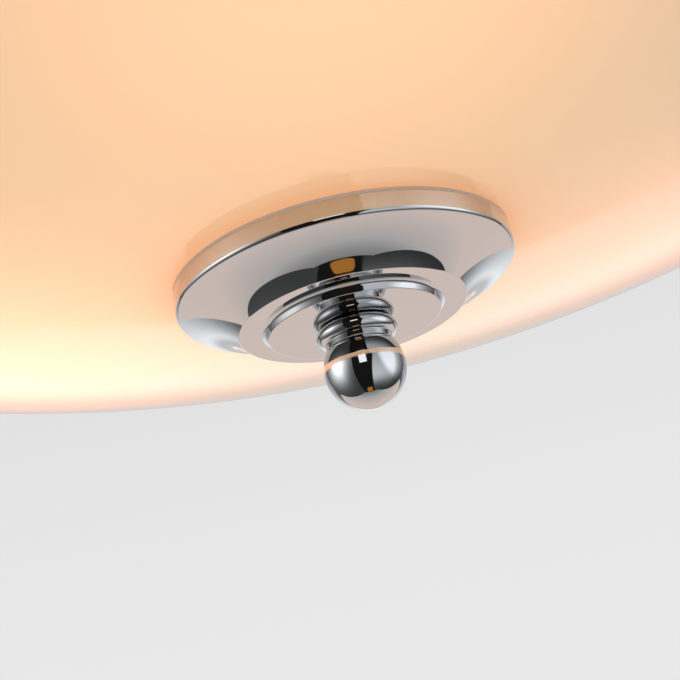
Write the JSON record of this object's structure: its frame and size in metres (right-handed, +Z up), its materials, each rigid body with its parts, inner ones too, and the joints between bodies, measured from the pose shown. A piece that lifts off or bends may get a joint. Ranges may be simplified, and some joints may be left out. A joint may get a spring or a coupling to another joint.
{
  "type": "ceiling light",
  "caption": "Ceiling light: a shallow opal glass bowl on a centre rod below a chrome canopy, with lamps on radial arms, a stepped rosette and a ball finial that unscrews.",
  "frame": {"origin": "centre between the two ceiling slots of the bracket, on the ceiling, on the rod's axis", "axes": "+Z up into the ceiling along the rod, +X along the bracket from slot to slot"},
  "size_m": [0.5, 0.5, 0.243],
  "materials": {
    "chrome": "mirror polish",
    "zinc_steel": "zinc plated",
    "terminal_plastic": "moulded",
    "brass": "bare",
    "screw_steel": "zinc plated",
    "earth_green": "green lacquer",
    "holder_plastic": "moulded",
    "porcelain": "unglazed",
    "bulb_glass": "opal, lit",
    "bulb_cap_metal": "drawn",
    "bulb_insulator": "black",
    "opal_glass": "opal, glossy",
    "gasket_rubber": "smooth",
    "bush_nylon": "moulded",
    "lead_brown": "insulation",
    "lead_blue": "insulation",
    "lead_green": "insulation"
  },
  "bodies": {
    "fixed_frame": {"canopy": "chrome", "cap_nuts": "chrome", "stem": "chrome", "hub_cover": "chrome", "hub_body": "chrome", "mounting_bracket": "zinc_steel", "canopy_studs": "zinc_steel", "centre_rod": "zinc_steel", "rod_top_nut": "zinc_steel", "rod_lower_nut": "zinc_steel", "stem_washer": "zinc_steel", "hub_washer": "zinc_steel", "hub_nut": "zinc_steel", "arm_1": "zinc_steel", "arm_2": "zinc_steel", "arm_3": "zinc_steel", "arm_nuts": "zinc_steel", "stop_nut": "zinc_steel", "terminal_block": "terminal_plastic", "terminal_clamps": "brass", "screw_shell_1": "brass", "screw_shell_2": "brass", "screw_shell_3": "brass", "centre_contacts": "brass", "terminal_screws": "screw_steel", "earth_screw": "earth_green", "hub_earth_screw": "earth_green", "holder_cap_1": "holder_plastic", "holder_cap_2": "holder_plastic", "holder_cap_3": "holder_plastic", "holder_skirt_1": "holder_plastic", "holder_skirt_2": "holder_plastic", "holder_skirt_3": "holder_plastic", "holder_core_1": "porcelain", "holder_core_2": "porcelain", "holder_core_3": "porcelain", "connector_ring": "porcelain", "feed_live": "lead_brown", "lamp_live_leads": "lead_brown", "feed_neutral": "lead_blue", "lamp_neutral_leads": "lead_blue", "feed_earth": "lead_green"},
    "bowl": {"bowl": "opal_glass", "bowl_bush": "bush_nylon", "bowl_gasket": "gasket_rubber", "seat_plate": "zinc_steel", "rosette_gasket": "gasket_rubber", "rosette": "chrome"},
    "finial": {"finial": "chrome"},
    "bulb_1": {"bulb_glass_1": "bulb_glass", "bulb_cap_1": "bulb_cap_metal", "bulb_base_1": "bulb_insulator"},
    "bulb_2": {"bulb_glass_2": "bulb_glass", "bulb_cap_2": "bulb_cap_metal", "bulb_base_2": "bulb_insulator"},
    "bulb_3": {"bulb_glass_3": "bulb_glass", "bulb_cap_3": "bulb_cap_metal", "bulb_base_3": "bulb_insulator"}
  },
  "joints": [
    {"name": "bowl_lower", "type": "slide", "parent": "fixed_frame", "child": "bowl", "axis": [0, 0, -1], "range_m": [0, 0.012]},
    {"name": "finial_unscrew", "type": "hinge", "parent": "bowl", "child": "finial", "pos_m": [0, 0, -0.22], "axis": [0, 0, -1], "range_deg": [0, 4320]},
    {"name": "bulb_1_withdraw", "type": "slide", "parent": "fixed_frame", "child": "bulb_1", "axis": [0.8192, 0.5736, 0], "range_m": [0, 0.024]},
    {"name": "bulb_2_withdraw", "type": "slide", "parent": "fixed_frame", "child": "bulb_2", "axis": [-0.9063, 0.4226, 0], "range_m": [0, 0.024]},
    {"name": "bulb_3_withdraw", "type": "slide", "parent": "fixed_frame", "child": "bulb_3", "axis": [0.0872, -0.9962, 0], "range_m": [0, 0.024]}
  ],
  "couplings": [
    {"joint": "finial_unscrew", "follows": "bowl_lower", "rad_per_m": 6283.2}
  ]
}
